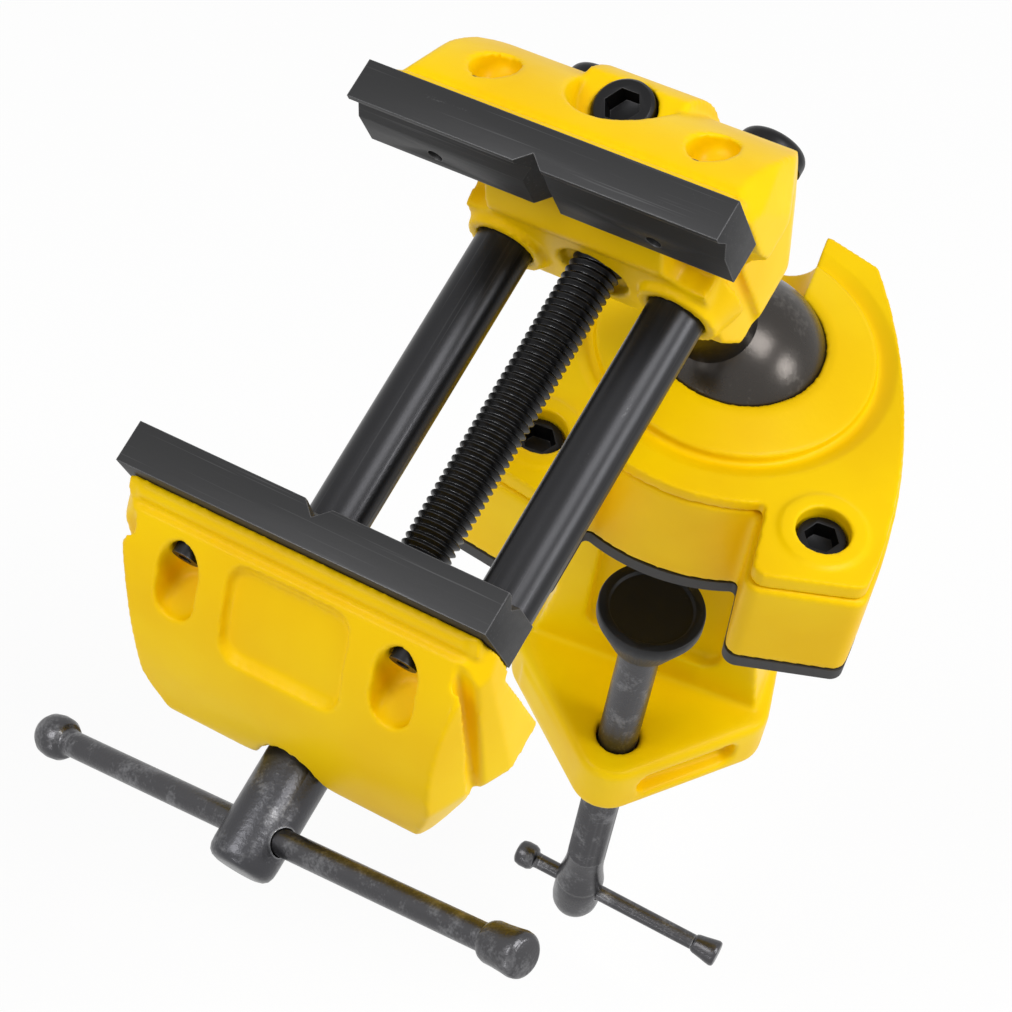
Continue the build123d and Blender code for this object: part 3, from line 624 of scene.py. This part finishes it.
movingDetail = {
    "pocketX": 0.0228, "pocketY": -0.0892, "pocketRadius": 0.0042, "pocketDrop": 0.0190,
    "pocketRound": 0.0018, "pocketHalfRun": 0.0014,
    "boreDrop": 0.0114, "boreRadius": 0.0031, "boreEnd": -0.0812,
    "grooveTop": (0.0042, -0.0054), "grooveBottom": (0.0171, -0.0400), "grooveAcross": (0.0024, 0.0009),
    "grooveFloor": 0.0332, "grooveReach": 0.008, "seat": -0.0773,
    "panelHalf": 0.0125, "panelMiddle": (0, -0.09045, -0.01315), "panelLength": 0.0192,
    "panelSlope": 41.5, "panelSink": 0.0010, "panelRound": 0.0036, "panelTool": 0.012,
    "skirtFront": -0.1025, "skirtTop": -0.0405, "skirtInner": 0.0105,
    "skirtMove": (0, -0.0006, -0.0021), "skirtReach": 0.013,
}


# The panel on the sloping face: cut free as a window, and set back a little deeper
def sinkPanel(skin):
    sizes = movingDetail
    half, length, tall = sizes["panelHalf"], sizes["panelLength"], sizes["panelTool"]
    slope = math.radians(sizes["panelSlope"])
    outward = Vector((0, -math.sin(slope), math.cos(slope)))
    window = prism("windowTool", [
        (-half, -length / 2), (half, -length / 2), (half, length / 2), (-half, length / 2),
    ], tall)
    edit(window, "DESELECT")
    leaveEdit()
    for edge in window.data.edges:
        ends = [window.data.vertices[index].co for index in edge.vertices]
        edge.select = abs(ends[0].z - ends[1].z) > tall / 2
    bpy.ops.object.mode_set(mode="EDIT")
    bpy.ops.mesh.bevel(offset=sizes["panelRound"], segments=5)
    leaveEdit()
    putIn(window, pointing(Vector(sizes["panelMiddle"]) - tall / 2 * outward, outward, headFrame))
    floor = copyOf(skin, "panelFloor")
    floor.matrix_world = Matrix.Translation(-sizes["panelSink"] * (headTurn @ outward))
    settle(floor)
    cutBy(floor, copyOf(window, "floorTool"), "INTERSECT")
    cutBy(skin, window)
    joined(skin, floor)


# The level bore at the bottom of a pocket, where the plate's screw comes through
def cutBore(skin, side):
    sizes = movingDetail
    start, end = sizes["pocketY"], sizes["boreEnd"]
    middle = (side * sizes["pocketX"], (end + start) / 2, -sizes["boreDrop"])
    cutBy(skin, drum("boreTool", sizes["boreRadius"], end - start, pointing(middle, (0, 1, 0), headFrame)))


def cutGroove(skin, side):
    sizes = movingDetail
    (topY, topZ), (lowY, lowZ) = sizes["grooveTop"], sizes["grooveBottom"]
    overY, overZ = sizes["grooveAcross"]
    groove = prism("grooveTool", [
        (topY, topZ), (lowY, lowZ), (lowY + overY, lowZ + overZ), (topY + overY, topZ + overZ),
    ], sizes["grooveReach"])
    cutAt(skin, groove, fromSide(side, sizes["grooveFloor"], sizes["seat"], -1))


def movingDetails(skin):
    sizes = movingDetail
    sinkPanel(skin)
    for side in (-1, 1):
        for end in (-1, 1):
            alongRods = sizes["pocketY"] + end * sizes["pocketHalfRun"]
            cutPocket(skin, (side * sizes["pocketX"], alongRods, 0), sizes)
        cutBore(skin, side)
        cutGroove(skin, side)


# The skirt's front edge drawn down a little, and the crown with it
def lowerSkirt(skin):
    sizes = movingDetail
    inHead = headFrame.inverted()
    edit(skin, "DESELECT")
    leaveEdit()
    for vertex in skin.data.vertices:
        spot = inHead @ vertex.co
        inFront = spot.y < sizes["skirtFront"] and spot.z < sizes["skirtTop"]
        vertex.select = inFront and abs(spot.x) > sizes["skirtInner"]
    bpy.ops.object.mode_set(mode="EDIT")
    bpy.ops.transform.translate(
        value=headTurn @ Vector(sizes["skirtMove"]), use_proportional_edit=True,
        proportional_edit_falloff="SMOOTH", proportional_size=sizes["skirtReach"],
    )
    leaveEdit()


# Castings with every edge and inside corner softened as the mould and the paint leave them
castings = {
    "baseCasting": {
        "node": "base_frame", "body": "base", "details": baseDetails,
        "voxel": 0.0007, "rounds": 9, "keep": 0.45,
    },
    "capCasting": {
        "node": "socket_cap", "body": "base", "details": capDetails,
        "voxel": 0.0005, "rounds": 7, "keep": 0.5,
    },
    "fixedCasting": {
        "node": "fixed_jaw", "body": "head", "details": fixedDetails,
        "voxel": 0.00055, "rounds": 8, "keep": 0.5,
    },
    "movingCasting": {
        "node": "moving_jaw", "body": "sliding_jaw", "details": movingDetails, "afterSmoothing": lowerSkirt,
        "voxel": 0.0005, "rounds": 7, "keep": 0.45,
    },
}


def makeCasting(name, values):
    skin = nodeCopy(values["node"], name)
    values["details"](skin)
    applied(skin, "REMESH", mode="VOXEL", voxel_size=values["voxel"], use_smooth_shade=True)
    applied(skin, "SMOOTH", factor=0.5, iterations=values["rounds"])
    if "afterSmoothing" in values:
        values["afterSmoothing"](skin)
    applied(skin, "DECIMATE", ratio=values["keep"])
    pick(skin)
    bpy.ops.object.shade_smooth()
    dress(skin, "yellowEnamel")
    finished(skin, values["body"], values["node"])


for castingName, castingValues in castings.items():
    makeCasting(castingName, castingValues)
print("made the castings")

# The main screw: a rolled thread, and a forged head that its handle slides through.
# The thread's heights are shares of its pitch. The head's profile is (radius, height) in millimetres.
mainScrew = {
    "pitch": 0.0015, "coreRadius": 0.0042, "crestRadius": 0.005, "rootShare": 0.04, "crestRound": 0.00006,
    "rootHeights": (0.08, 0.94), "crestHeights": (0.42, 0.47, 0.55, 0.60), "steps": 30,
    "threadStart": -0.0732, "threadEnd": 0.038,
    "headLength": 0.0222, "headGap": 0.0001, "barFromEnd": 0.0077, "barHole": 0.00275, "barTool": 0.016,
    "headProfile": [
        (0, 0), (4.2, 0), (5.2, 0.3), (5.9, 0.9), (6.3, 1.9), (6.4, 3.2), (6.4, 21.4), (6.2, 22.0),
        (5.8, 22.2), (0, 22.2),
    ],
}


# One turn of the thread, from root to crest to root
def threadProfile():
    sizes = mainScrew
    pitch, core, crest = sizes["pitch"], sizes["coreRadius"], sizes["crestRadius"]
    root, shoulder = core + sizes["rootShare"] * (crest - core), crest - sizes["crestRound"]
    rootStart, rootEnd = sizes["rootHeights"]
    shoulderStart, crestStart, crestEnd, shoulderEnd = sizes["crestHeights"]
    return [
        (core, 0), (root, rootStart * pitch), (shoulder, shoulderStart * pitch), (crest, crestStart * pitch),
        (crest, crestEnd * pitch), (shoulder, shoulderEnd * pitch), (root, rootEnd * pitch), (core, pitch),
    ]


def onAxis(depth):
    return headFrame @ Vector((0, depth, -headSizes["screwDrop"]))


def makeMainScrew():
    sizes = mainScrew
    start, end, pitch = sizes["threadStart"], sizes["threadEnd"], sizes["pitch"]
    along = headTurn @ Vector((0, 1, 0))
    turns = math.ceil((end - start) / pitch) + 2
    thread = turned("mainScrew", threadProfile(), sizes["steps"], pitch, turns)
    putIn(thread, pointing((0, start - pitch, -headSizes["screwDrop"]), (0, 1, 0), headFrame))
    outwards(thread)
    cutOff(thread, onAxis(end), along)
    cutOff(thread, onAxis(start), -along)
    shank = nodeCopy("main_screw", "screwShank")
    cutOff(shank, onAxis(start), along)
    inHead = headFrame.inverted()
    headEnd = min((inHead @ vertex.co).y for vertex in shank.data.vertices)
    cutOff(shank, onAxis(headEnd + sizes["headLength"] + sizes["headGap"]), -along)
    head = turned("screwHead", inMetres(sizes["headProfile"]), 64)
    putIn(head, pointing((0, headEnd, -headSizes["screwDrop"]), (0, 1, 0), headFrame))
    outwards(head)
    bar = pointing(onAxis(headEnd + sizes["barFromEnd"]), joints["jaw_handle_slide"]["axis"])
    cutBy(head, drum("handleTool", sizes["barHole"], sizes["barTool"], bar))
    dress(thread, "screwSteel")
    dress(shank, "headSteel")
    dress(head, "headSteel")
    joined(thread, shank, head)
    shadedTo(thread, 40)
    finished(thread, "jaw_screw", "main_screw")


makeMainScrew()

# Knobs swaged on the two handles: one button and one flared bell on each.
# Their profiles are (radius, height) in millimetres, and the height goes outwards.
handles = {
    "mainKnobs": {
        "joint": "jaw_handle_slide", "body": "jaw_handle", "node": "main_tbar_ends",
        "button": [
            (0, -5.6), (2.5, -5.6), (2.55, -3.6), (3.4, -3.1), (4.1, -1.8), (4.25, 0), (4.0, 1.7),
            (3.2, 3.1), (1.8, 3.8), (0, 4.0),
        ],
        "bell": [
            (0, -6.6), (2.45, -6.6), (2.5, -5.2), (3.4, -5.0), (3.7, -4.0), (3.75, -2.2), (3.95, 0.2),
            (4.1, 1.5), (3.95, 2.6), (3.2, 3.3), (0, 3.5),
        ],
    },
    "clampKnobs": {
        "joint": "clamp_handle_slide", "body": "clamp_handle", "node": "clamp_tbar_ends",
        "button": [
            (0, -3.8), (2.0, -3.8), (2.05, -2.6), (2.8, -2.3), (3.3, -1.2), (3.35, 0.8), (3.0, 2.2),
            (2.0, 2.8), (0, 2.9),
        ],
        "bell": [
            (0, -3.4), (2.2, -3.4), (2.5, -2.6), (2.8, -0.8), (3.2, 1.2), (3.4, 2.4), (3.3, 3.0),
            (2.9, 3.3), (0, 3.4),
        ],
    },
}
knobRound = {"width": 0.0003, "overDegrees": 25}


def makeKnobs(name, values):
    ends = nodeCopy(values["node"], "measuredEnds")
    axis = Vector(joints[values["joint"]]["axis"]).normalized()
    spots = sorted((vertex.co.dot(axis), vertex.index) for vertex in ends.data.vertices)
    middle = (spots[0][0] + spots[-1][0]) / 2
    halves = {-1: [], 1: []}
    for along, index in spots:
        halves[-1 if along < middle else 1].append(ends.data.vertices[index].co.copy())
    knobs = []
    for side, shape in ((-1, "button"), (1, "bell")):
        low = min(spot.dot(axis) for spot in halves[side])
        high = max(spot.dot(axis) for spot in halves[side])
        centre = sum(halves[side], Vector()) / len(halves[side])
        centre += ((low + high) / 2 - centre.dot(axis)) * axis
        knob = turned(name + shape.capitalize(), inMetres(values[shape]), 48)
        putIn(knob, pointing(centre, side * axis))
        outwards(knob)
        knobs.append(knob)
    bpy.data.objects.remove(ends)
    piece = joined(*knobs)
    piece.name = name
    applied(
        piece, "BEVEL", width=knobRound["width"], segments=2, limit_method="ANGLE",
        angle_limit=math.radians(knobRound["overDegrees"]),
    )
    shadedTo(piece, 38)
    dress(piece, "forgedSteel")
    finished(piece, values["body"], values["node"])


for handleName, handleValues in handles.items():
    makeKnobs(handleName, handleValues)

# The clamp screw: its foot flares into a head with a rounded end, drilled for the handle.
# The profile is (radius, height) in millimetres.
clampHead = {
    "cutHeight": -0.134, "barHeight": -0.150, "barHole": 0.0022, "barTool": 0.016,
    "profile": [
        (0, -133.8), (4.75, -133.8), (4.75, -137.5), (4.95, -140.5), (5.45, -144), (5.95, -146.6),
        (6.0, -147.2), (5.7, -147.5), (5.85, -148.2), (6.0, -149.8), (6.0, -155.4), (5.75, -157.5),
        (5.1, -159.2), (4.0, -160.6), (2.4, -161.5), (0, -161.8),
    ],
}


def makeClampScrew():
    sizes = clampHead
    spindle = nodeCopy("clamp_screw", "clampSpindle")
    cutOff(spindle, (0, 0, sizes["cutHeight"]), (0, 0, -1))
    head = turned("clampHead", inMetres(sizes["profile"]), 64)
    settle(head)
    outwards(head)
    bar = pointing((0, 0, sizes["barHeight"]), Vector(joints["clamp_handle_slide"]["axis"]))
    cutBy(head, drum("handleTool", sizes["barHole"], sizes["barTool"], bar))
    joined(spindle, head)
    shadedTo(spindle, 32)
    dress(spindle, "forgedSteel")
    finished(spindle, "clamp_spindle", "clamp_screw")


makeClampScrew()
print("made the screws and the knobs")

# Machined pieces with the small rounded edges that catch the light: round is its width in metres
softened = {
    "fixedPlate": {"node": "fixed_jaw_plate", "body": "head", "slot": "plate_steel", "round": 0.00022},
    "movingPlate": {
        "node": "moving_jaw_plate", "body": "sliding_jaw", "slot": "plate_steel", "round": 0.00022,
    },
    "capScrews": {"node": "cap_screws", "body": "base", "slot": "black_steel", "round": 0.0003},
    "headBolt": {"node": "head_bolt", "body": "head", "slot": "black_steel", "round": 0.0004},
    "clampCup": {"node": "clamp_cup", "body": "cup", "slot": "black_steel", "round": 0.0004},
}


def softenedPiece(name, values):
    piece = nodeCopy(values["node"], name)
    edit(piece)
    bpy.ops.mesh.dissolve_limited(angle_limit=math.radians(1))
    leaveEdit()
    applied(
        piece, "BEVEL", width=values["round"], segments=2, limit_method="ANGLE",
        angle_limit=math.radians(30), use_clamp_overlap=True,
    )
    shadedTo(piece, 35)
    dress(piece, nodeFinish[values["node"]])
    finished(piece, values["body"], values["node"])


for softName, softValues in softened.items():
    softenedPiece(softName, softValues)
print("rounded the machined pieces")

stage = {
    "floorHeight": -0.205, "floorSize": 6.0, "floorColour": (0.86, 0.86, 0.86), "backdrop": (1.0, 1.0, 1.0),
    "whiteShare": 0.90, "worldLight": 0.38,
}


# What the camera, metal and glass see in place of the lit floor and world
def seenDirectly(maker):
    path = maker.tree.nodes.new("ShaderNodeLightPath")
    seen = Amount(maker, path.outputs["Is Camera Ray"])
    for output in ("Is Glossy Ray", "Is Transmission Ray"):
        seen = larger(seen, Amount(maker, path.outputs[output]))
    return seen


def makeFloor():
    bpy.ops.mesh.primitive_plane_add(size=stage["floorSize"], location=(0, 0, stage["floorHeight"]))
    floor = bpy.context.object
    floor.name = "floor"
    settle(floor)
    finish = Finish("floorPaper")
    finish.set(colour=colour(*stage["floorColour"]), roughness=0.9, specular=0.1)
    paper = Amount(finish, finish.shader.outputs[0])
    white = finish.make("ShaderNodeEmission", {}, {"Color": colour(*stage["backdrop"]), "Strength": 1.0})
    share = seenDirectly(finish) * stage["whiteShare"]
    shown = finish.make("ShaderNodeMixShader", {}, {0: share, 1: paper, 2: white})
    finish.tree.links.new(shown.socket, finish.tree.nodes["Material Output"].inputs[0])
    floor.data.materials.append(finish.material)


def makeWorld():
    world = bpy.data.worlds.new("studio")
    bpy.context.scene.world = world
    world.use_nodes = True
    maker = NodeMaker(world.node_tree)
    background = world.node_tree.nodes["Background"]
    background.inputs["Color"].default_value = colour(1, 1, 1)
    background.inputs["Strength"].default_value = stage["worldLight"]
    light = Amount(maker, background.outputs[0])
    white = maker.make("ShaderNodeBackground", {}, {"Color": colour(*stage["backdrop"]), "Strength": 1.0})
    shown = maker.make("ShaderNodeMixShader", {}, {0: seenDirectly(maker), 1: light, 2: white})
    maker.tree.links.new(shown.socket, maker.tree.nodes["World Output"].inputs[0])


lamps = {
    "keyLamp": {"place": (0.55, -0.05, 1.20), "size": 0.55, "power": 8.5},
    "leftLamp": {"place": (-0.75, -0.65, 1.05), "size": 0.7, "power": 8.5},
    "rightLamp": {"place": (1.05, -0.02, 0.52), "size": 0.35, "power": 4.8},
    "lowLamp": {"place": (-0.40, -1.10, -0.05), "size": 0.12, "power": 0.8},
}
lampTarget = Vector((0, 0, 0.02))


def makeLamps():
    for name, values in lamps.items():
        bpy.ops.object.light_add(type="AREA", location=values["place"])
        lamp = bpy.context.object
        lamp.name = name
        lamp.data.size = values["size"]
        lamp.data.energy = values["power"]
        lamp.rotation_euler = (lampTarget - Vector(values["place"])).to_track_quat("-Z", "Y").to_euler()


# The photograph's camera: its place in metres, its roll in degrees, its lens in millimetres
view = {
    "place": (0.03649, -0.36715, 0.49160),
    "direction": (-0.11623, 0.58746, -0.80086),
    "roll": 10.51,
    "lens": 103.23,
    "sensor": 36,
    "nearest": 0.01,
}


def makeCamera():
    bpy.ops.object.camera_add(location=view["place"])
    camera = bpy.context.object
    turn = Vector(view["direction"]).to_track_quat("-Z", "Y").to_matrix()
    camera.rotation_euler = (turn @ Matrix.Rotation(math.radians(view["roll"]), 3, "Z")).to_euler()
    camera.data.lens = view["lens"]
    camera.data.sensor_width = view["sensor"]
    camera.data.clip_start = view["nearest"]
    bpy.context.scene.camera = camera


makeFloor()
makeWorld()
makeLamps()
makeCamera()
bpy.context.scene.view_settings.view_transform = "Standard"
print("stage, lamps and camera are up")
